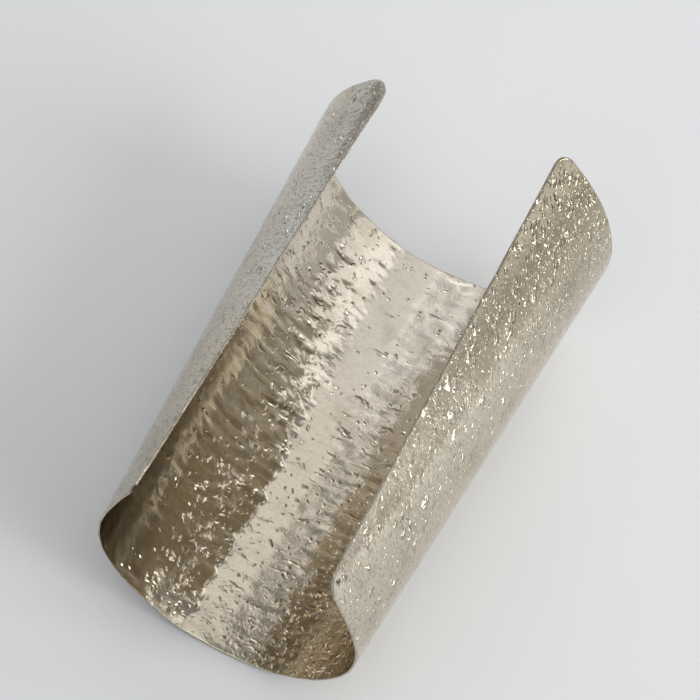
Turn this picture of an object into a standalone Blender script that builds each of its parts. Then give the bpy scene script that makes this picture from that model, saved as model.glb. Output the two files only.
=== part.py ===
"""Open cuff bracelet: one bent sheet lying on its back with its gap up.

The sheet's outer face is lofted between two end sections. Each section is a short flat, a back arc,
a side arc and a wing arc, each tangent to the last. Y runs along the wrist, +Y to the wider end.
"""

import math

import bmesh
import bpy

# Sizes in metres, angles in degrees.
NEAR_WIDTH = 0.0620  # outside, at the wrist end
FAR_WIDTH = 0.0716  # outside, at the forearm end
BACK_LENGTH = 0.1043  # along the back, end to end
SHEET_THICKNESS = 0.0008
NEAR_SWEEP = 0.0063  # how far each end's line has run towards +Y by the gap
FAR_SWEEP = 0.0119
FLAT_SHARE = 0.03  # of the half arc, flat at the back, where the cuff rests

# Turn is in degrees; a radius is a share of the end's width, and the section is scaled to that width.
SECTION_COLUMNS = ("back_radius", "back_turn", "side_radius", "side_turn", "wing_radius", "wing_turn")
NEAR_SECTION = (0.51, 50.8, 0.324, 59.1, 0.837, 16.2)
FAR_SECTION = (0.48, 66.2, 0.318, 89.4, 0.618, 3.4)

# Radius of each rounded corner at the gap, looking from the near end.
CORNER_COLUMNS = ("near", "far")
LEFT_CORNERS = (0.0012, 0.0058)
RIGHT_CORNERS = (0.0041, 0.0039)

HALF_FACETS = 36  # across each half of the sheet, beyond the flat
CORNER_FACETS = 6  # rows round the larger corner of each end
LENGTH_FACETS = 12  # rows along the straight run between the corners
HELD_SHARE = 0.75  # columns up to this share of the half arc run straight from end to end

METAL_COLOUR = (0.60, 0.56, 0.49, 1.0)
METAL_ROUGHNESS = 0.28


def clear_scene():
    for item in list(bpy.data.objects):
        bpy.data.objects.remove(item, do_unlink=True)


def arc_step(start, turned, radius, turn):
    """End point of an arc that leaves start at the angle turned."""
    swept = turned + turn
    x = start[0] + radius * (math.sin(swept) - math.sin(turned))
    z = start[1] + radius * (math.cos(turned) - math.cos(swept))
    return (x, z)


def half_section(row, width):
    """The pieces of one half section, from the middle of the back to the gap, scaled to width."""
    shape = dict(zip(SECTION_COLUMNS, row))
    arcs = []
    for name in ("back", "side", "wing"):
        arcs.append((shape[name + "_radius"], math.radians(shape[name + "_turn"])))
    arc_total = sum(radius * turn for radius, turn in arcs)
    length = arc_total / (1.0 - FLAT_SHARE)
    place = (length * FLAT_SHARE, 0.0)
    turned = 0.0
    run = place[0]
    pieces = []
    for radius, turn in arcs:
        pieces.append((run, place, turned, radius))
        place = arc_step(place, turned, radius, turn)
        turned += turn
        run += radius * turn
    # The sheet is widest where it has turned a right angle.
    widest = 0.0
    for (run, place, turned, radius), (_, turn) in zip(pieces, arcs):
        if turned <= math.pi / 2 <= turned + turn:
            widest = arc_step(place, turned, radius, math.pi / 2 - turned)[0]
    scale = width / 2 / widest
    scaled = []
    for run, place, turned, radius in pieces:
        scaled.append((run * scale, (place[0] * scale, place[1] * scale), turned, radius * scale))
    return scaled, length * scale


def on_section(section, share):
    """Point (x, z) and turned angle at a share of the half arc."""
    pieces, length = section
    run = share * length
    if run <= pieces[0][0]:
        return (run, 0.0), 0.0
    start, place, turned, radius = [piece for piece in pieces if piece[0] <= run][-1]
    turn = (run - start) / radius
    return arc_step(place, turned, radius, turn), turned + turn


def mix(first, second, share):
    return first + (second - first) * share


def sheet_point(near, far, share, along, depth):
    """Point of the sheet, depth under its outer face. share runs from -1 to 1 over the arc."""
    side = -1.0 if share < 0 else 1.0
    near_place, near_turn = on_section(near, abs(share))
    far_place, far_turn = on_section(far, abs(share))
    turned = mix(near_turn, far_turn, along)
    x = mix(near_place[0], far_place[0], along) - depth * math.sin(turned)
    z = mix(near_place[1], far_place[1], along) + depth * math.cos(turned)
    y = along * BACK_LENGTH + mix(NEAR_SWEEP, FAR_SWEEP, along) * share * share
    return (side * x, y, z)


def corner_cut(radius, distance):
    """How much a rounded corner takes off a row that lies distance from the end."""
    if distance >= radius:
        return 0.0
    return radius - math.sqrt(radius * radius - (radius - distance) ** 2)


def last_share(corners, near, far, y):
    """Share of the half arc where the sheet ends, in the row at y."""
    radii = dict(zip(CORNER_COLUMNS, corners))
    length = mix(near[1], far[1], y / BACK_LENGTH)
    cut = corner_cut(radii["near"], y) + corner_cut(radii["far"], BACK_LENGTH - y)
    return 1.0 - cut / length


def row_places():
    near_radius = max(LEFT_CORNERS[0], RIGHT_CORNERS[0])
    far_radius = max(LEFT_CORNERS[1], RIGHT_CORNERS[1])
    rows = []
    for step in range(CORNER_FACETS):
        rows.append(near_radius * (1.0 - math.cos(math.pi / 2 * step / CORNER_FACETS)))
    straight = BACK_LENGTH - near_radius - far_radius
    for step in range(LENGTH_FACETS + 1):
        rows.append(near_radius + straight * step / LENGTH_FACETS)
    for step in range(CORNER_FACETS - 1, -1, -1):
        rows.append(BACK_LENGTH - far_radius * (1.0 - math.cos(math.pi / 2 * step / CORNER_FACETS)))
    return rows


def column_shares(last):
    """Shares from the flat's border to the sheet's end, with the outer columns drawn in to last."""
    shares = []
    for step in range(HALF_FACETS + 1):
        share = mix(FLAT_SHARE, 1.0, step / HALF_FACETS)
        if share > HELD_SHARE:
            share = HELD_SHARE + (share - HELD_SHARE) * (last - HELD_SHARE) / (1.0 - HELD_SHARE)
        shares.append(share)
    return shares


def sheet_rows(near, far, depth):
    rows = []
    for y in row_places():
        left = [-share for share in column_shares(last_share(LEFT_CORNERS, near, far, y))]
        right = column_shares(last_share(RIGHT_CORNERS, near, far, y))
        shares = left[::-1] + right
        rows.append([sheet_point(near, far, share, y / BACK_LENGTH, depth) for share in shares])
    return rows


def grid_faces(bm, rows, flip):
    for near_row, far_row in zip(rows, rows[1:]):
        for column in range(len(near_row) - 1):
            corners = [near_row[column], near_row[column + 1], far_row[column + 1], far_row[column]]
            if flip:
                corners.reverse()
            bm.faces.new(corners)


def rim_loop(rows):
    loop = list(rows[0])
    loop += [row[-1] for row in rows[1:]]
    loop += rows[-1][-2::-1]
    loop += [row[0] for row in rows[-2:0:-1]]
    return loop


def rim_faces(bm, outer_rows, inner_rows):
    outer = rim_loop(outer_rows)
    inner = rim_loop(inner_rows)
    count = len(outer)
    for index in range(count):
        after = (index + 1) % count
        bm.faces.new([outer[after], outer[index], inner[index], inner[after]])


def centred(rows_by_face):
    """Both faces' rows moved so that the box round them has its middle over the origin."""
    places = [place for rows in rows_by_face for row in rows for place in row]
    shift = []
    for axis in (0, 1):
        values = [place[axis] for place in places]
        shift.append((min(values) + max(values)) / 2)
    moved = []
    for rows in rows_by_face:
        moved.append([[(x - shift[0], y - shift[1], z) for x, y, z in row] for row in rows])
    return moved


def metal():
    material = bpy.data.materials.new("hammered_metal")
    material.use_nodes = True
    shader = material.node_tree.nodes["Principled BSDF"]
    shader.inputs["Base Color"].default_value = METAL_COLOUR
    shader.inputs["Metallic"].default_value = 1.0
    shader.inputs["Roughness"].default_value = METAL_ROUGHNESS
    return material


def make_cuff():
    near = half_section(NEAR_SECTION, NEAR_WIDTH)
    far = half_section(FAR_SECTION, FAR_WIDTH)
    faces = centred([sheet_rows(near, far, 0.0), sheet_rows(near, far, SHEET_THICKNESS)])
    bm = bmesh.new()
    outer, inner = [[[bm.verts.new(place) for place in row] for row in rows] for rows in faces]
    grid_faces(bm, outer, True)
    grid_faces(bm, inner, False)
    rim_faces(bm, outer, inner)
    bmesh.ops.triangulate(bm, faces=bm.faces)
    bmesh.ops.recalc_face_normals(bm, faces=bm.faces)
    mesh = bpy.data.meshes.new("cuff")
    bm.to_mesh(mesh)
    bm.free()
    mesh.materials.append(metal())
    cuff = bpy.data.objects.new("cuff", mesh)
    bpy.context.scene.collection.objects.link(cuff)
    return cuff


clear_scene()
make_cuff()
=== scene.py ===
import math

import bpy
import numpy as np
from mathutils import Matrix, Vector


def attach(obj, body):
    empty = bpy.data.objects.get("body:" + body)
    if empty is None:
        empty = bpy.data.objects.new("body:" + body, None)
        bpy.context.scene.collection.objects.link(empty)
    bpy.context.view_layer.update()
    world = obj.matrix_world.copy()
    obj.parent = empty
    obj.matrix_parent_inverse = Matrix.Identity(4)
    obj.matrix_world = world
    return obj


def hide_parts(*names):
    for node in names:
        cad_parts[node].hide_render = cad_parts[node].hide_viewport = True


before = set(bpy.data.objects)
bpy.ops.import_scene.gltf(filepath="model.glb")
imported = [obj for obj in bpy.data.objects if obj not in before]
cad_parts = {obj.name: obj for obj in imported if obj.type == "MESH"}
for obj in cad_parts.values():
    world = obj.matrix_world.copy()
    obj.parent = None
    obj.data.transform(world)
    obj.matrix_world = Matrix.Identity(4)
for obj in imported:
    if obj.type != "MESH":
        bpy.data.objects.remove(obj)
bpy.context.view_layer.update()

scene = bpy.context.scene
mm = 0.001

# The cuff: one bent sheet, lofted between two end sections of a flat and three tangent arcs.
# Sizes in mm and degrees. A place on the sheet is its arc from the middle of the back (right is
# +), then its distance along the back from the wrist end. A patch is a place, how far it reaches
# round and along, and one or more amounts, which fade out over the reach.
cuff = {
    "nearWidth": 62.0,          # outside, at the wrist end
    "farWidth": 71.6,
    "backLength": 104.3,
    "depths": (0.16, 0.60),     # outer and inner face, in from the solid's outer face
    "nearSweep": 6.3,           # how far the near end's line has run back by the gap
    "farSweep": 11.9,
    "flatShare": 0.03,          # flat strip at the back, share of the half arc
    # Radius as a share of the width, and turn: back, side, wing.
    "nearArcs": ((0.51, 50.8), (0.324, 59.1), (0.837, 16.2)),
    "farArcs": ((0.48, 66.2), (0.318, 89.4), (0.618, 3.4)),
    "leftCorners": (1.2, 5.8),  # radii at the near and far end
    "rightCorners": (4.1, 3.9),
    "rimRound": 0.13,           # worn edge of the sheet
    "rimInside": (0.3, 0.7),    # how far the rim's two loops count as inside
    "edgeReach": 2.5,           # how far the edge's waves reach into the sheet
    "columns": 256,
    "rows": 168,                # in the straight run between the corners
    "nearCornerRows": 7,
    "farCornerRows": 10,
    "straightShare": 0.75,      # columns up to this share run straight from end to end

    # A soft crease left of the flat of the back. Each row: how far along, the crease's arc, how
    # far the sheet comes inwards past it, over which width, and the crease's own rounding.
    "crease": (
        (0.0, -10.5, 0.55, 10.0, 1.0),
        (6.0, -10.5, 1.10, 12.0, 1.0),
        (14.0, -10.5, 1.35, 13.0, 1.0),
        (36.0, -10.0, 1.38, 13.0, 1.0),
        (46.0, -10.3, 1.22, 12.5, 2.0),
        (52.0, -11.0, 0.95, 11.5, 4.0),
        (58.0, -12.0, 0.70, 10.5, 6.0),
        (66.0, -15.0, 0.38, 9.0, 7.0),
        (78.0, -20.0, 0.12, 8.0, 7.0),
        (104.3, -25.0, 0.0, 8.0, 7.0),
    ),
    "creaseFade": 40.0,         # width over which the sheet goes back to its section
    # The waves along the crease: length, reach and phase.
    "creaseWaves": (
        (1.7, 0.16, 3.2), (2.9, 0.25, 1.3), (4.3, 0.35, 0.4), (7.1, 0.45, 2.1), (12.6, 0.5, 4.4),
    ),
    "swells": ((-28.0, 86.0, 9.0, 16.0, -0.2),),    # wide and shallow, inwards
}

# Hammered relief that is real geometry: long hollows beaten in from outside, and wavy edges.
hammer = {
    "sizes": {
        "Hollow Length": 6.0,   # round the arm
        "Hollow Width": 2.2,    # along the arm
        "Hollow Depth": 0.26,
        "Dimple Length": 2.8,
        "Dimple Width": 1.7,
        "Dimple Depth": 0.12,
        "Bend": 1.6,            # how far the hollows wander
        "Edge Wave": 0.38,
        "Edge Wave Length": 9.0,
        "Seed": 4.0,
    },
    "dimpleSeed": 11.0,         # added for the dimples
    "wander": (0.09, 1.0, 3.0), # waves per mm, detail, and mm for each mm of bend
    "hollowNoise": (1.0, 0.4),  # detail and roughness
    "dimpleNoise": (0.0, 0.5),
    "edgeNoise": (2.0, 0.5),
    # The relief's strength by arc, then patches where the hollows are deeper.
    "reliefArcs": (-65, -45, -16, -8, 4, 12, 50),
    "relief": (0.6, 1.0, 1.0, 0.5, 0.5, 0.9, 0.3),
    "deepHollows": (
        (-15.0, 60.0, 9.0, 14.0, 1.2),
        (-26.0, 84.0, 8.0, 14.0, 0.8),
        (11.0, 40.0, 7.0, 40.0, 0.45),
        (28.0, 4.0, 15.0, 12.0, 1.1),
        (-48.0, 10.0, 14.0, 18.0, 0.8),
        (-18.0, 2.0, 9.0, 6.0, -0.5),
    ),
}

# The metal: warm silver-coloured sheet with fine beaten marks, lightly tarnished, with painted
# shade in its marks, between its drops and in some patches.
metal = {
    "clean": (0.660, 0.616, 0.552, 1.0),
    "bright": (0.675, 0.612, 0.510, 1.0),
    # Darker film colour, for tarnish and for painted shade.
    "tarnished": (0.42, 0.372, 0.29, 1.0),
    "stained": (0.09, 0.065, 0.045, 1.0),
    # Marks, in mm. A pair is for the outside and the inside of the sheet.
    "marks": {
        "Streak Length": (3.0, 6.0),
        "Streak Width": (1.5, 1.9),
        "Streak Depth": (0.015, 0.11),
        "Ripple Size": (1.0, 0.85),
        "Ripple Depth": (0.07, 0.10),
        "Dash Length": (4.0, 9.0),      # spacing of the long dents round the arm
        "Dash Width": (2.4, 1.9),
        "Dash Depth": (0.02, 0.065),
        "Dent Length": (0.85, 1.9),
        "Dent Width": (1.25, 1.5),
        "Dent Depth": (0.12, 0.085),
        "Drop Length": (2.1, 1.9),
        "Drop Width": (2.8, 1.7),
        "Drop Height": (0.31, 0.10),
        "Gap Film": (1.0, 0.1),         # brown film between the drops, partly tarnish and partly painted shade and painted reflection
        "Lean": (-0.5, 0.15),           # how far the marks lean, round per mm along
        "Speck Length": 1.1,
        "Speck Width": 0.5,
        "Speck Depth": 0.006,
        "Grain Depth": 0.004,
    },
    # Film colour and roughness: tarnish, with painted shade where marks, drop gaps and patches
    # darken the metal.
    "tarnish": {
        "Cloud Film": 0.5,              # film in the clouds, the marks and the specks; in the marks it is partly painted shade
        "Mark Film": 0.8,
        "Speck Film": 0.6,
        "Smooth Rough": 0.10,
        "Dull Rough": 0.17,
        "Film Rough": 0.05,             # added where film, painted shade or stain lies
        "Stain Rough": 0.3,
    },
    "wander": (0.3, 2.0, 3.0),  # waves per mm, detail and reach
    # Each fine pattern: detail and roughness, seed or waves per mm, and the range that counts.
    "ripple": {"noise": (1.0, 0.5), "seed": 3.0},
    "streak": {"noise": (1.0, 0.4), "seed": 9.0},
    "speck": {"noise": (2.0, 0.55), "seed": 5.0, "range": (0.46, 0.68)},
    "grain": {"noise": (3.0, 0.6), "waves": 4.0},
    "cloud": {"noise": (5.0, 0.65), "waves": 0.11, "range": (0.46, 0.72)},
    "fleck": {"noise": (3.0, 0.6), "waves": 1.3, "range": (0.35, 0.7), "gain": 1.6, "base": 0.1},
    "polish": {"noise": (4.0, 0.6), "waves": 0.5, "range": (0.3, 0.75)},
    "markFilm": 2.5,            # film and painted shade in a mark for each share of its cell
    # On the drops themselves this film and painted shade is taken away.
    "dropFilm": -2.0,
    # Wrinkles, dents and streaks everywhere, the most dents, and what patches add to the three.
    "everywhere": (0.12, 0.22, 1.0),
    "mostDents": 1.3,
    "busyPatches": (
        (-36.0, 4.0, 24.0, 8.0, -0.1, 0.1, -0.5),
        (-7.0, 14.0, 6.0, 16.0, 0.0, 0.35, 0.0),
        (-48.0, 12.0, 14.0, 18.0, 1.2, -0.4, 0.2),
        (-15.5, 24.0, 5.0, 26.0, 0.0, 0.4, 0.3),
        (3.0, 4.0, 13.0, 11.0, 0.3, 0.15, -0.8),
        (9.0, 12.0, 7.0, 16.0, -0.1, 0.35, -0.4),
        (-4.0, 34.0, 8.0, 30.0, 0.0, 0.1, -0.6),
        (27.0, 5.0, 15.0, 13.0, 0.7, 0.4, -1.0),
        (13.0, 45.0, 9.0, 45.0, 0.2, 0.3, 0.3),
        (-15.0, 60.0, 8.0, 14.0, 0.0, 0.2, 1.0),
        (-24.0, 80.0, 8.0, 14.0, 0.0, 0.1, 0.9),
        (-42.0, 88.0, 18.0, 18.0, 0.5, 0.4, 0.0),
        (66.0, 94.0, 16.0, 22.0, 0.25, 0.9, -0.8),
        (68.0, 50.0, 14.0, 45.0, 0.05, 0.35, -0.8),
        (-66.0, 50.0, 14.0, 70.0, 0.9, 0.3, 0.0),
        (2.0, 90.0, 16.0, 22.0, 0.0, -0.1, -0.7),
    ),
    # Patches where round drops stand on the sheet, outside and inside.
    "outerDrops": (
        (74.0, 94.0, 9.0, 23.0, 1.1),
        (69.0, 63.0, 5.0, 22.0, 0.75),
        (62.0, 22.0, 9.0, 30.0, 0.25),
        (-63.0, 6.0, 9.0, 36.0, 0.6),
        (-72.0, 92.0, 10.0, 24.0, 0.2),
    ),
    "innerDrops": (
        (34.0, 7.0, 16.0, 12.0, 0.8),
        (12.0, 9.0, 8.0, 14.0, 0.45),
        (-20.0, 16.0, 7.0, 20.0, 0.4),
        (14.0, 40.0, 7.0, 40.0, 0.2),
        (-24.0, 84.0, 8.0, 18.0, 0.25),
    ),
    # Patches of brown film, partly tarnish and partly painted shade that darkens the inside near
    # the wrist end and the top of the right wing. Below nothing, the metal is cleaner and paler.
    "outerFilms": (
        (72.0, 94.0, 13.0, 22.0, 1.1),
        (-70.0, 70.0, 20.0, 40.0, -0.9),
    ),
    "innerFilms": (
        (62.0, 40.0, 17.0, 50.0, 1.2),
        (-40.0, 14.0, 13.0, 28.0, 0.4),
        (0.0, 90.0, 26.0, 28.0, -1.2),
        (-33.0, 4.0, 13.0, 10.0, 0.9),
        (14.0, 11.0, 6.0, 14.0, 0.7),
    ),
    # Dark stains: a place, reach and amount.
    "stains": ((-65.3, 1.2, 1.2, 0.9), (63.6, 2.6, 1.0, 0.9)),
    # Specks: their strength by arc on the outside, and on the inside.
    "speckArcs": (-45, -25, 25, 45),
    "outerSpecks": (1.7, 0.4, 0.4, 1.2),
    "innerSpecks": 0.3,
}


def endSection(arcs, width):
    radii = np.array([radius for radius, turn in arcs])
    turns = np.radians([turn for radius, turn in arcs])
    total = (radii * turns).sum() / (1 - cuff["flatShare"])
    start = x = total * cuff["flatShare"]
    z = turned = 0.0
    pieces = [(0.0, 0.0, 0.0, 0.0, np.inf)]
    widest = 0.0
    for radius, turn in zip(radii, turns):
        pieces.append((start, x, z, turned, radius))
        if turned <= math.pi / 2 <= turned + turn:
            widest = x + radius * (1 - math.sin(turned))
        x += radius * (math.sin(turned + turn) - math.sin(turned))
        z += radius * (math.cos(turned) - math.cos(turned + turn))
        start += radius * turn
        turned += turn
    scale = width / 2 / widest
    table = np.array(pieces)
    table[:, [0, 1, 2, 4]] *= scale
    return {"table": table, "total": total * scale}


nearSection = endSection(cuff["nearArcs"], cuff["nearWidth"])
farSection = endSection(cuff["farArcs"], cuff["farWidth"])


def alongSection(section, share):
    # Place and turned angle of the half section, for an array of shares of its arc.
    run = np.abs(share) * section["total"]
    table = section["table"]
    pieces = table[np.searchsorted(table[:, 0], run, side="right") - 1]
    start, x, z, turned, radius = np.moveaxis(pieces, -1, 0)
    flat = np.isinf(radius)
    swept = turned + np.where(flat, 0.0, (run - start) / np.where(flat, 1.0, radius))
    reach = np.where(flat, 1.0, radius)
    x = np.where(flat, run, x + reach * (np.sin(swept) - np.sin(turned)))
    z = np.where(flat, 0.0, z + reach * (np.cos(turned) - np.cos(swept)))
    return x, z, swept


def sheetPlace(share, y, depth):
    along = y / cuff["backLength"]
    nearX, nearZ, nearTurn = alongSection(nearSection, share)
    farX, farZ, farTurn = alongSection(farSection, share)
    turned = nearTurn + (farTurn - nearTurn) * along
    side = np.sign(share)
    x = nearX + (farX - nearX) * along - depth * np.sin(turned)
    z = nearZ + (farZ - nearZ) * along + depth * np.cos(turned)
    sweep = cuff["nearSweep"] + (cuff["farSweep"] - cuff["nearSweep"]) * along
    arc = share * (nearSection["total"] + (farSection["total"] - nearSection["total"]) * along)
    place = np.stack([side * x, y + sweep * share ** 2, z], -1)
    outward = np.stack([side * np.sin(turned), np.zeros_like(x), -np.cos(turned)], -1)
    edgewise = np.stack([side * np.cos(turned), np.zeros_like(x), np.sin(turned)], -1)
    return place, outward, edgewise, np.stack([arc, y, np.zeros_like(y)], -1)


def halfArc(y):
    taper = farSection["total"] - nearSection["total"]
    return nearSection["total"] + taper * y / cuff["backLength"]


def cornerCut(radius, distance, inset):
    reach = (radius - inset) ** 2 - (radius - distance) ** 2
    return np.where(distance < radius, radius - np.sqrt(np.maximum(reach, 0)), inset)


def lastShare(corners, y, inset):
    near = cornerCut(corners[0], y, inset)
    far = cornerCut(corners[1], cuff["backLength"] - y, inset)
    return 1 - np.maximum(near, far) / halfArc(y)


def rowPlaces():
    # Rows are closer in the rounded corners.
    near = max(cuff["leftCorners"][0], cuff["rightCorners"][0])
    far = max(cuff["leftCorners"][1], cuff["rightCorners"][1])
    quarter = math.pi / 2
    nearTurns = np.linspace(0, quarter, cuff["nearCornerRows"] + 1)[:-1]
    farTurns = np.linspace(quarter, 0, cuff["farCornerRows"] + 1)[1:]
    first = near * (1 - np.cos(nearTurns))
    middle = np.linspace(near, cuff["backLength"] - far, cuff["rows"] + 1)
    last = cuff["backLength"] - far * (1 - np.cos(farTurns))
    return np.concatenate([first, middle, last])


def sheetGrid(depth, inset):
    held = cuff["straightShare"]
    y = inset + rowPlaces() * (1 - 2 * inset / cuff["backLength"])
    half = np.linspace(0, 1, cuff["columns"] // 2 + 1)
    halves = []
    for corners in ("leftCorners", "rightCorners"):
        last = lastShare(cuff[corners], y, inset)[:, None]
        drawnIn = held + (half - held) * (last - held) / (1 - held)
        halves.append(np.where(half <= held, half, drawnIn))
    share = np.concatenate([-halves[0][:, :0:-1], halves[1]], 1)
    return sheetPlace(share, np.repeat(y[:, None], share.shape[1], 1), depth)


def rimLoop(grid):
    return np.concatenate([grid[0], grid[1:, -1], grid[-1, -2::-1], grid[-2:0:-1, 0]])


def patchSum(places, table):
    total = np.zeros(len(places))
    for arc, along, reachRound, reachAlong, amount in table:
        far = ((places[:, 0] - arc) / reachRound) ** 2 + ((places[:, 1] - along) / reachAlong) ** 2
        total += amount * np.exp(-far)
    return total


def creaseHeight(places):
    rows = np.array(cuff["crease"])
    arc, height, width, rounding = (
        np.interp(places[:, 1], rows[:, 0], rows[:, column]) for column in (1, 2, 3, 4)
    )
    for length, reach, phase in cuff["creaseWaves"]:
        arc = arc + reach * np.sin(2 * math.pi * places[:, 1] / length + phase)
    past = np.maximum(arc - places[:, 0], 0.0)
    past = np.where(past < rounding, past * past / (2 * rounding), past - rounding / 2)
    rise = 1 - np.maximum(1 - past / width, 0.0) ** 2
    back = np.clip(past / cuff["creaseFade"], 0.0, 1.0)
    return height * rise * (1 - back * back * (3 - 2 * back))


def edgePull(flat, edgewise):
    # How near each point is to the sheet's edge, as an outward pull that fades within a few mm.
    reach = cuff["edgeReach"]
    toGap = np.exp(-((halfArc(flat[:, 1]) - np.abs(flat[:, 0])) / reach) ** 2)
    toNear = np.exp(-(flat[:, 1] / reach) ** 2)
    toFar = np.exp(-((cuff["backLength"] - flat[:, 1]) / reach) ** 2)
    pull = edgewise * toGap[:, None]
    pull[:, 1] += toFar - toNear
    return pull


def paintPoints(mesh, flat, outward, edgewise, inside):
    wrinkles, dents, streaks = (
        base + patchSum(flat, [patch[:4] + patch[4 + k:5 + k] for patch in metal["busyPatches"]])
        for k, base in enumerate(metal["everywhere"])
    )
    relief = np.interp(flat[:, 0], hammer["reliefArcs"], hammer["relief"])
    relief += patchSum(flat, hammer["deepHollows"])
    # The film patches carry tarnish and painted shade alike.
    film, drops = (
        patchSum(flat, metal["inner" + kind]) * inside
        + patchSum(flat, metal["outer" + kind]) * (1 - inside)
        for kind in ("Films", "Drops")
    )
    specks = np.interp(flat[:, 0], metal["speckArcs"], metal["outerSpecks"])
    stain = patchSum(flat, [(arc, along, reach, reach, amount)
                            for arc, along, reach, amount in metal["stains"]])
    for name, kind, values in (
        ("sheetPlace", "FLOAT_VECTOR", flat),
        ("outward", "FLOAT_VECTOR", outward),
        ("edgePull", "FLOAT_VECTOR", edgePull(flat, edgewise)),
        ("inside", "FLOAT", inside),
        ("relief", "FLOAT", relief),
        ("wrinkles", "FLOAT", np.clip(wrinkles, 0, None)),
        ("streaks", "FLOAT", np.clip(streaks, 0, None)),
        ("dents", "FLOAT", np.clip(dents, 0, metal["mostDents"])),
        ("stain", "FLOAT", stain),
        ("film", "FLOAT", film),
        ("drops", "FLOAT", drops),
        ("specks", "FLOAT", specks * (1 - inside) + metal["innerSpecks"] * inside),
    ):
        layer = mesh.attributes.new(name, kind, "POINT")
        key = "vector" if kind == "FLOAT_VECTOR" else "value"
        layer.data.foreach_set(key, values.astype(np.float32).ravel())


def makeSheet():
    # Two faces, and two loops between them that round the rim.
    inset = cuff["rimRound"]
    outerDepth, innerDepth = cuff["depths"]
    faces = [sheetGrid(outerDepth, inset), sheetGrid(innerDepth, inset)]
    rims = [sheetGrid(outerDepth + inset, 0), sheetGrid(innerDepth - inset, 0)]
    shape = faces[0][0].shape[:2]
    count = shape[0] * shape[1]
    index = np.arange(count).reshape(shape)
    loop = rimLoop(index)
    size = len(loop)
    place, outward, edgewise, flat = (
        np.concatenate([grid[k].reshape(count, 3) for grid in faces]
                       + [grid[k].reshape(count, 3)[loop] for grid in rims])
        for k in range(4)
    )
    place = place - outward * (creaseHeight(flat) + patchSum(flat, cuff["swells"]))[:, None]
    quads = np.stack([index[:-1, :-1], index[:-1, 1:], index[1:, 1:], index[1:, :-1]], -1)
    quads = quads.reshape(-1, 4)
    polygons = [quads[:, ::-1], quads + count]
    loops = [loop, 2 * count + np.arange(size), 2 * count + size + np.arange(size), count + loop]
    for a, b in zip(loops, loops[1:]):
        polygons.append(np.stack([np.roll(a, -1), a, b, np.roll(b, -1)], -1))
    shift = np.array([0, -(place[:, 1].min() + place[:, 1].max()) / 2, 0])
    mesh = bpy.data.meshes.new("cuffSheet")
    mesh.from_pydata(((place + shift) * mm).tolist(), [], np.concatenate(polygons).tolist())
    # 0 on the outer face and 1 on the inner one, in steps over the rim.
    steps = zip((count, count, size, size), (0.0, 1.0, *cuff["rimInside"]))
    inside = np.concatenate([np.full(points, step) for points, step in steps])
    paintPoints(mesh, flat, outward, edgewise, inside)
    mesh.polygons.foreach_set("use_smooth", np.ones(len(mesh.polygons), bool))
    mesh.update()
    piece = bpy.data.objects.new("hammeredCuff", mesh)
    scene.collection.objects.link(piece)
    return piece


def newTree(name, kind, inputs, outputs):
    tree = bpy.data.node_groups.new(name, kind)
    for socketName, socketType, value in inputs:
        socket = tree.interface.new_socket(socketName, in_out="INPUT", socket_type=socketType)
        if value is not None:
            socket.default_value = value
    for socketName, socketType in outputs:
        tree.interface.new_socket(socketName, in_out="OUTPUT", socket_type=socketType)
    return tree, tree.nodes.new("NodeGroupInput").outputs, tree.nodes.new("NodeGroupOutput").inputs


def floatInputs(values):
    return [(name, "NodeSocketFloat", value[0] if isinstance(value, tuple) else value)
            for name, value in values.items()]


def addNode(tree, kind, settings=None, links=None):
    node = tree.nodes.new(kind)
    for key, value in (settings or {}).items():
        setattr(node, key, value)
    for key, value in (links or {}).items():
        if isinstance(value, bpy.types.NodeSocket):
            tree.links.new(value, node.inputs[key])
        else:
            node.inputs[key].default_value = value
    return node


def mathNode(tree, operation, a, b, c=None):
    links = {0: a, 1: b} if c is None else {0: a, 1: b, 2: c}
    return addNode(tree, "ShaderNodeMath", {"operation": operation}, links).outputs[0]


def vectorNode(tree, operation, a, b):
    links = {0: a, "Scale" if operation == "SCALE" else 1: b}
    return addNode(tree, "ShaderNodeVectorMath", {"operation": operation}, links).outputs[0]


def noiseNode(tree, vector, noise, waves=1.0):
    # The noise is its detail and roughness.
    links = {"Vector": vector, "Scale": 1.0, "Detail": noise[0], "Roughness": noise[1]}
    if waves != 1.0:
        links["Vector"] = vectorNode(tree, "SCALE", vector, waves)
    return addNode(tree, "ShaderNodeTexNoise", {"noise_dimensions": "3D"}, links).outputs


def rampNode(tree, value, low, high, least=0.0, most=1.0, kind="LINEAR"):
    links = {"Value": value, "From Min": low, "From Max": high, "To Min": least, "To Max": most}
    return addNode(tree, "ShaderNodeMapRange", {"interpolation_type": kind}, links).outputs[0]


def mixNode(tree, share, a, b):
    links = {"Factor": share, 6: a, 7: b}
    return addNode(tree, "ShaderNodeMix", {"data_type": "RGBA"}, links).outputs[2]


def stretched(tree, place, length, width, seed):
    # Turns mm on the sheet into pattern units: one is length round the arm and width along it.
    parts = addNode(tree, "ShaderNodeSeparateXYZ", links={0: place}).outputs
    x = mathNode(tree, "DIVIDE", parts[0], length)
    y = mathNode(tree, "DIVIDE", parts[1], width)
    return addNode(tree, "ShaderNodeCombineXYZ", links={0: x, 1: y, 2: seed}).outputs[0]


def wandering(tree, place, waves, detail, reach):
    # The place, pushed about by a slow noise.
    slow = noiseNode(tree, place, (detail, 0.5), waves)["Color"]
    centred = vectorNode(tree, "SUBTRACT", slow, (0.5, 0.5, 0.5))
    return vectorNode(tree, "ADD", place, vectorNode(tree, "SCALE", centred, reach))


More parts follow.
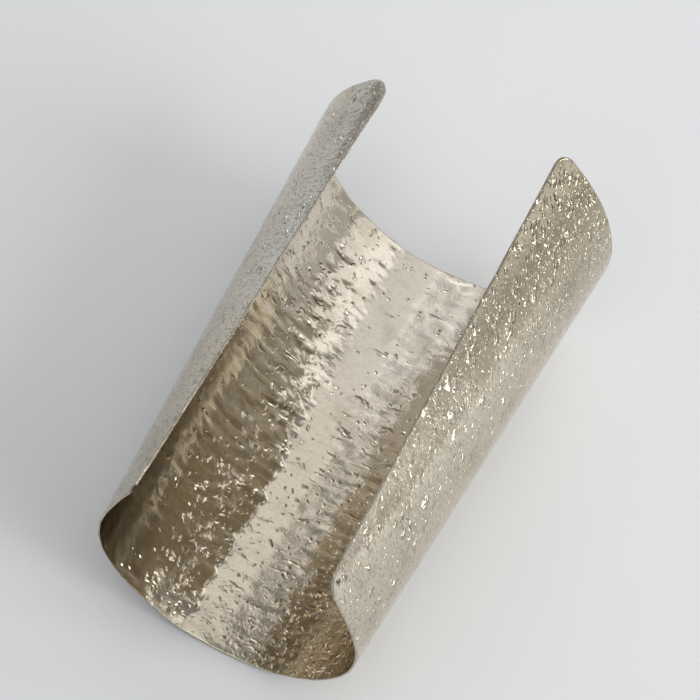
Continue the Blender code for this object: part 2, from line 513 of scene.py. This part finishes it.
def hammerTree():
    tree, value, result = newTree(
        "hammeredSheet", "GeometryNodeTree",
        [("Geometry", "NodeSocketGeometry", None), *floatInputs(hammer["sizes"]),
         ("Material", "NodeSocketMaterial", None)],
        [("Geometry", "NodeSocketGeometry")],
    )

    def attribute(name, kind):
        node = addNode(tree, "GeometryNodeInputNamedAttribute", {"data_type": kind}, {"Name": name})
        return node.outputs["Attribute"]

    place = attribute("sheetPlace", "FLOAT_VECTOR")
    waves, detail, reach = hammer["wander"]
    bent = wandering(tree, place, waves, detail, mathNode(tree, "MULTIPLY", value["Bend"], reach))
    seed = value["Seed"]
    hollowPlace = stretched(tree, bent, value["Hollow Length"], value["Hollow Width"], seed)
    hollow = noiseNode(tree, hollowPlace, hammer["hollowNoise"])[0]
    later = mathNode(tree, "ADD", seed, hammer["dimpleSeed"])
    dimplePlace = stretched(tree, bent, value["Dimple Length"], value["Dimple Width"], later)
    dimple = noiseNode(tree, dimplePlace, hammer["dimpleNoise"])[0]
    dimple = mathNode(tree, "MULTIPLY", dimple, value["Dimple Depth"])
    relief = mathNode(tree, "MULTIPLY_ADD", hollow, value["Hollow Depth"], dimple)
    relief = mathNode(tree, "MULTIPLY", relief, attribute("relief", "FLOAT"))
    inward = mathNode(tree, "MULTIPLY", relief, -mm)
    offset = vectorNode(tree, "SCALE", attribute("outward", "FLOAT_VECTOR"), inward)
    waveLength = value["Edge Wave Length"]
    wavePlace = stretched(tree, place, waveLength, waveLength, seed)
    wave = noiseNode(tree, wavePlace, hammer["edgeNoise"])[0]
    wave = mathNode(tree, "MULTIPLY", mathNode(tree, "SUBTRACT", wave, 0.5), value["Edge Wave"])
    wave = mathNode(tree, "MULTIPLY", wave, 2 * mm)
    ripple = vectorNode(tree, "SCALE", attribute("edgePull", "FLOAT_VECTOR"), wave)
    moved = addNode(tree, "GeometryNodeSetPosition", links={
        "Geometry": value["Geometry"], "Offset": vectorNode(tree, "ADD", offset, ripple)})
    whole = addNode(tree, "GeometryNodeRealizeInstances", links={"Geometry": moved.outputs[0]})
    dressed = addNode(tree, "GeometryNodeSetMaterial", links={
        "Geometry": whole.outputs[0], "Material": value["Material"]})
    tree.links.new(dressed.outputs[0], result[0])
    return tree


def applyTree(piece, tree, values):
    modifier = piece.modifiers.new("hammer", "NODES")
    modifier.node_group = tree
    for item in tree.interface.items_tree:
        if item.in_out == "INPUT" and item.name in values:
            modifier[item.identifier] = values[item.name]
    evaluated = piece.evaluated_get(bpy.context.evaluated_depsgraph_get())
    mesh = bpy.data.meshes.new_from_object(evaluated)
    piece.modifiers.remove(modifier)
    old = piece.data
    piece.data = mesh
    bpy.data.meshes.remove(old)
    mesh.name = piece.name


# Marks that lie one to a cell: seed, a mark's least and most share of its cell, and how far it
# stands out for each mm of its depth or height.
cellMarks = (
    ("Dash", "Depth", "Dents", 7.3, 0.14, 0.34, -4.0),
    ("Dent", "Depth", "Dents", 21.9, 0.16, 0.42, -3.0),
    ("Drop", "Height", "Drops", 33.1, 0.28, 0.5, 3.0),
)


def beatenMarks():
    places = {"Wrinkles": 0.2, "Dents": 0.4, "Streaks": 1.0, "Drops": 0.0, "Specks": 0.0}
    tree, value, result = newTree(
        "beatenMarks", "ShaderNodeTree",
        [("Place", "NodeSocketVector", None), *floatInputs(places), *floatInputs(metal["marks"])],
        [(name, "NodeSocketFloat") for name in ("Height", "Marks", "Specks")],
    )
    place = value["Place"]
    bent = wandering(tree, place, *metal["wander"])

    def noisePattern(kind, coordinates, length, width):
        pattern = stretched(tree, coordinates, length, width, metal[kind]["seed"])
        return noiseNode(tree, pattern, metal[kind]["noise"])[0]

    ripple = noisePattern("ripple", bent, value["Ripple Size"], value["Ripple Size"])
    rippleDepth = mathNode(tree, "MULTIPLY", value["Ripple Depth"], value["Wrinkles"])
    height = mathNode(tree, "MULTIPLY", ripple, rippleDepth)

    def addHeight(pattern, depth, factor):
        depth = mathNode(tree, "MULTIPLY", depth, factor)
        return mathNode(tree, "MULTIPLY_ADD", pattern, depth, height)

    streak = noisePattern("streak", bent, value["Streak Length"], value["Streak Width"])
    height = addHeight(streak, value["Streak Depth"], value["Streaks"])
    parts = addNode(tree, "ShaderNodeSeparateXYZ", links={0: bent}).outputs
    leantX = mathNode(tree, "MULTIPLY_ADD", parts[1], value["Lean"], parts[0])
    leant = addNode(tree, "ShaderNodeCombineXYZ", links={0: leantX, 1: parts[1]}).outputs[0]

    def cells(length, width, amount, seed, least, most):
        # A smooth mark in each cell whose random number passes a limit set by the amount.
        shifted = stretched(tree, leant, length, width, 0.0)
        shifted = vectorNode(tree, "ADD", shifted, (seed, seed, 0.0))
        settings = {"feature": "F1", "voronoi_dimensions": "2D"}
        links = {"Vector": shifted, "Scale": 1.0, "Randomness": 1.0}
        cell = addNode(tree, "ShaderNodeTexVoronoi", settings, links).outputs
        share = addNode(tree, "ShaderNodeSeparateColor", links={0: cell["Color"]}).outputs[0]
        limit = mathNode(tree, "SUBTRACT", 1.0, amount)
        reach = rampNode(tree, share, limit, 1.0, least, most)
        present = mathNode(tree, "GREATER_THAN", share, limit)
        near = mathNode(tree, "DIVIDE", cell["Distance"], reach)
        mark = rampNode(tree, near, 1.0, 0.0, kind="SMOOTHSTEP")
        return mathNode(tree, "MULTIPLY", mathNode(tree, "MULTIPLY", mark, present), reach)

    found = {}
    for name, size, amount, seed, least, most, push in cellMarks:
        length, width = value[name + " Length"], value[name + " Width"]
        found[name] = cells(length, width, value[amount], seed, least, most)
        height = addHeight(found[name], value[name + " " + size], push)
    speck = noisePattern("speck", leant, value["Speck Length"], value["Speck Width"])
    speck = rampNode(tree, speck, *metal["speck"]["range"], 0.0, value["Specks"], "SMOOTHSTEP")
    height = addHeight(speck, value["Speck Depth"], -1.0)
    grain = noiseNode(tree, place, metal["grain"]["noise"], metal["grain"]["waves"])[0]
    height = mathNode(tree, "MULTIPLY_ADD", grain, value["Grain Depth"], height)
    # Darker colour in the dashes, dents and drop gaps: partly tarnish, partly painted shade for
    # their dark reflections.
    marks = mathNode(tree, "MAXIMUM", found["Dash"], found["Dent"])
    marks = mathNode(tree, "MULTIPLY", marks, metal["markFilm"])
    # Between the drops: film that is partly painted shade and painted reflection.
    between = mathNode(tree, "MULTIPLY_ADD", found["Drop"], metal["dropFilm"], value["Gap Film"])
    marks = mathNode(tree, "ADD", marks, mathNode(tree, "MULTIPLY", value["Drops"], between))
    for name, output in (("Height", height), ("Marks", marks), ("Specks", speck)):
        tree.links.new(output, result[name])
    return tree


# Colour and roughness of the film: tarnish, and painted shade in the marks, drop gaps and patches.
def tarnishGroup():
    places = {"Marks": 0.0, "Specks": 0.0, "Film": 0.0, "Stain": 0.0}
    colours = [(name.capitalize(), "NodeSocketColor", metal[name])
               for name in ("clean", "bright", "tarnished", "stained")]
    tree, value, result = newTree(
        "lightTarnish", "ShaderNodeTree",
        [("Place", "NodeSocketVector", None), *floatInputs(places), *colours,
         *floatInputs(metal["tarnish"])],
        [("Color", "NodeSocketColor"), ("Roughness", "NodeSocketFloat")],
    )
    place = value["Place"]
    cloud, fleck, polish = (
        noiseNode(tree, place, metal[kind]["noise"], metal[kind]["waves"])[0]
        for kind in ("cloud", "fleck", "polish")
    )
    cloud = rampNode(tree, cloud, *metal["cloud"]["range"], 0.0, value["Cloud Film"], "SMOOTHSTEP")
    # The film in the marks is partly painted shade.
    film = mathNode(tree, "MULTIPLY_ADD", value["Marks"], value["Mark Film"], cloud)
    film = mathNode(tree, "MULTIPLY_ADD", value["Specks"], value["Speck Film"], film)
    # The film patches add tarnish and painted shade.
    film = mathNode(tree, "ADD", mathNode(tree, "MAXIMUM", value["Film"], 0.0), film)
    film = addNode(tree, "ShaderNodeClamp", links={0: film}).outputs[0]
    bare = mathNode(tree, "MULTIPLY", value["Film"], -1.0)
    bare = addNode(tree, "ShaderNodeClamp", links={0: bare}).outputs[0]
    colour = mixNode(tree, bare, value["Bright"], value["Clean"])
    # Mix towards the darker colour: tarnish and painted shade.
    colour = mixNode(tree, film, colour, value["Tarnished"])
    fleck = mathNode(tree, "MULTIPLY_ADD", fleck, metal["fleck"]["gain"], metal["fleck"]["base"])
    stain = mathNode(tree, "MULTIPLY", value["Stain"], fleck)
    stain = rampNode(tree, stain, *metal["fleck"]["range"], kind="SMOOTHSTEP")
    colour = mixNode(tree, stain, colour, value["Stained"])
    rough = rampNode(
        tree, polish, *metal["polish"]["range"], value["Smooth Rough"], value["Dull Rough"])
    rough = mathNode(tree, "MULTIPLY_ADD", film, value["Film Rough"], rough)
    rough = mathNode(tree, "MULTIPLY_ADD", stain, value["Stain Rough"], rough)
    tree.links.new(colour, result["Color"])
    tree.links.new(rough, result["Roughness"])
    return tree


def hammeredMetal():
    material = bpy.data.materials.new("hammeredMetal")
    material.use_nodes = True
    tree = material.node_tree
    shader = tree.nodes["Principled BSDF"]
    shader.inputs["Metallic"].default_value = 1.0

    def attribute(name):
        return addNode(tree, "ShaderNodeAttribute", {"attribute_name": name})

    place = attribute("sheetPlace").outputs["Vector"]
    inside = attribute("inside").outputs["Fac"]
    marks = addNode(tree, "ShaderNodeGroup", {"node_tree": beatenMarks()}, {
        "Place": place,
        **{name.capitalize(): attribute(name).outputs["Fac"]
           for name in ("wrinkles", "dents", "streaks", "drops", "specks")},
        **{name: rampNode(tree, inside, 0.0, 1.0, *size) if isinstance(size, tuple) else size
           for name, size in metal["marks"].items()}})
    tarnish = addNode(tree, "ShaderNodeGroup", {"node_tree": tarnishGroup()}, {
        "Place": place, "Marks": marks.outputs["Marks"], "Specks": marks.outputs["Specks"],
        "Film": attribute("film").outputs["Fac"], "Stain": attribute("stain").outputs["Fac"]})
    bump = addNode(tree, "ShaderNodeBump", links={
        "Strength": 1.0, "Distance": mm, "Height": marks.outputs["Height"]})
    tree.links.new(tarnish.outputs["Color"], shader.inputs["Base Color"])
    tree.links.new(tarnish.outputs["Roughness"], shader.inputs["Roughness"])
    tree.links.new(bump.outputs[0], shader.inputs["Normal"])
    return material


def makeCuff():
    piece = makeSheet()
    applyTree(piece, hammerTree(), {**hammer["sizes"], "Material": hammeredMetal()})
    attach(piece, "root")
    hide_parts("cuff")
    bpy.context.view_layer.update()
    return piece


# Floor, camera and lights.
warm, cool = (1.0, 0.985, 0.955), (0.90, 0.97, 1.06)
studio = {
    "floorSize": 6.0,
    "floorColour": (0.79, 0.81, 0.84, 1.0),
    "floorRough": 0.9,
    "worldColour": (1.0, 1.0, 1.0, 1.0),
    "worldStrength": 0.03,
    "lightDistance": 1.3,
    # Soft lights: azimuth from +Y towards +X, elevation, width, height, strength, colour.
    "lights": (
        ("window", 90, 27, 0.49, 0.80, 7.8, warm),
        ("windowSide", 108, 26, 0.41, 0.80, 2.8, warm),
        ("rightLow", 72, 8.5, 0.41, 0.48, 0.19, warm),
        ("rightFill", 52, 27, 1.05, 1.33, 2.15, warm),
        ("backRight", 46, 38, 0.56, 0.745, 0.78, warm),
        ("backHigh", 355, 38, 1.00, 0.80, 1.7, warm),
        ("overhead", 10, 65, 0.85, 0.50, 0.88, warm),
        ("top", 0, 90, 2.20, 2.20, 3.5, warm),
        ("leftHigh", 326, 51, 0.39, 0.48, 0.24, warm),
        ("leftWide", 305, 39, 1.00, 0.87, 0.90, warm),
        ("frontLeftHigh", 240, 46, 1.50, 1.00, 0.45, warm),
        ("cameraHigh", 150, 66, 1.05, 0.95, 2.6, warm),
        ("leftLow", 295, 9, 1.76, 0.50, 1.95, cool),
        ("frontLeftLow", 235, 15, 1.76, 0.70, 3.2, cool),
        ("backLow", 0, 15, 1.45, 0.70, 9.0, warm),
    ),
}

view = {
    "azimuth": 31.38,           # degrees, from the near end towards +X
    "elevation": 60.56,
    "roll": -3.42,
    "distance": 0.7458,
    "aim": (-0.00345, 0.00582, 0.02845),
    "lens": 180.8,
    "sensor": 36,
    "nearest": 0.01,
}


def makeFloor():
    half = studio["floorSize"] / 2
    corners = [(-half, -half, 0), (half, -half, 0), (half, half, 0), (-half, half, 0)]
    mesh = bpy.data.meshes.new("floor")
    mesh.from_pydata(corners, [], [(0, 1, 2, 3)])
    floor = bpy.data.objects.new("floor", mesh)
    scene.collection.objects.link(floor)
    material = bpy.data.materials.new("paleFloor")
    material.use_nodes = True
    shader = material.node_tree.nodes["Principled BSDF"]
    shader.inputs["Base Color"].default_value = studio["floorColour"]
    shader.inputs["Roughness"].default_value = studio["floorRough"]
    mesh.materials.append(material)


def direction(azimuth, elevation):
    a, e = math.radians(azimuth), math.radians(elevation)
    return Vector((math.sin(a) * math.cos(e), math.cos(a) * math.cos(e), math.sin(e)))


def makeLights():
    for name, azimuth, elevation, width, height, strength, colour in studio["lights"]:
        light = bpy.data.lights.new(name, "AREA")
        light.shape = "RECTANGLE"
        light.size = width
        light.size_y = height
        light.energy = strength
        light.color = colour
        lamp = bpy.data.objects.new(name, light)
        scene.collection.objects.link(lamp)
        away = direction(azimuth, elevation)
        lamp.location = away * studio["lightDistance"]
        lamp.rotation_euler = away.to_track_quat("Z", "Y").to_euler()
    world = bpy.data.worlds.new("studio")
    scene.world = world
    world.use_nodes = True
    background = world.node_tree.nodes["Background"]
    background.inputs[0].default_value = studio["worldColour"]
    background.inputs[1].default_value = studio["worldStrength"]


def makeCamera():
    data = bpy.data.cameras.new("camera")
    data.lens = view["lens"]
    data.sensor_width = view["sensor"]
    data.clip_start = view["nearest"]
    camera = bpy.data.objects.new("camera", data)
    scene.collection.objects.link(camera)
    a, e, r = (math.radians(view[key]) for key in ("azimuth", "elevation", "roll"))
    back = Vector((math.sin(a) * math.cos(e), -math.cos(a) * math.cos(e), math.sin(e)))
    level = Vector((math.cos(a), math.sin(a), 0))
    up = back.cross(level)
    right = level * math.cos(r) + up * math.sin(r)
    top = up * math.cos(r) - level * math.sin(r)
    placed = Matrix((right, top, back)).transposed().to_4x4()
    placed.translation = Vector(view["aim"]) + back * view["distance"]
    camera.matrix_world = placed
    scene.camera = camera


makeCuff()
makeFloor()
makeLights()
makeCamera()
scene.view_settings.view_transform = "Standard"
print("floor, lights and camera ready")
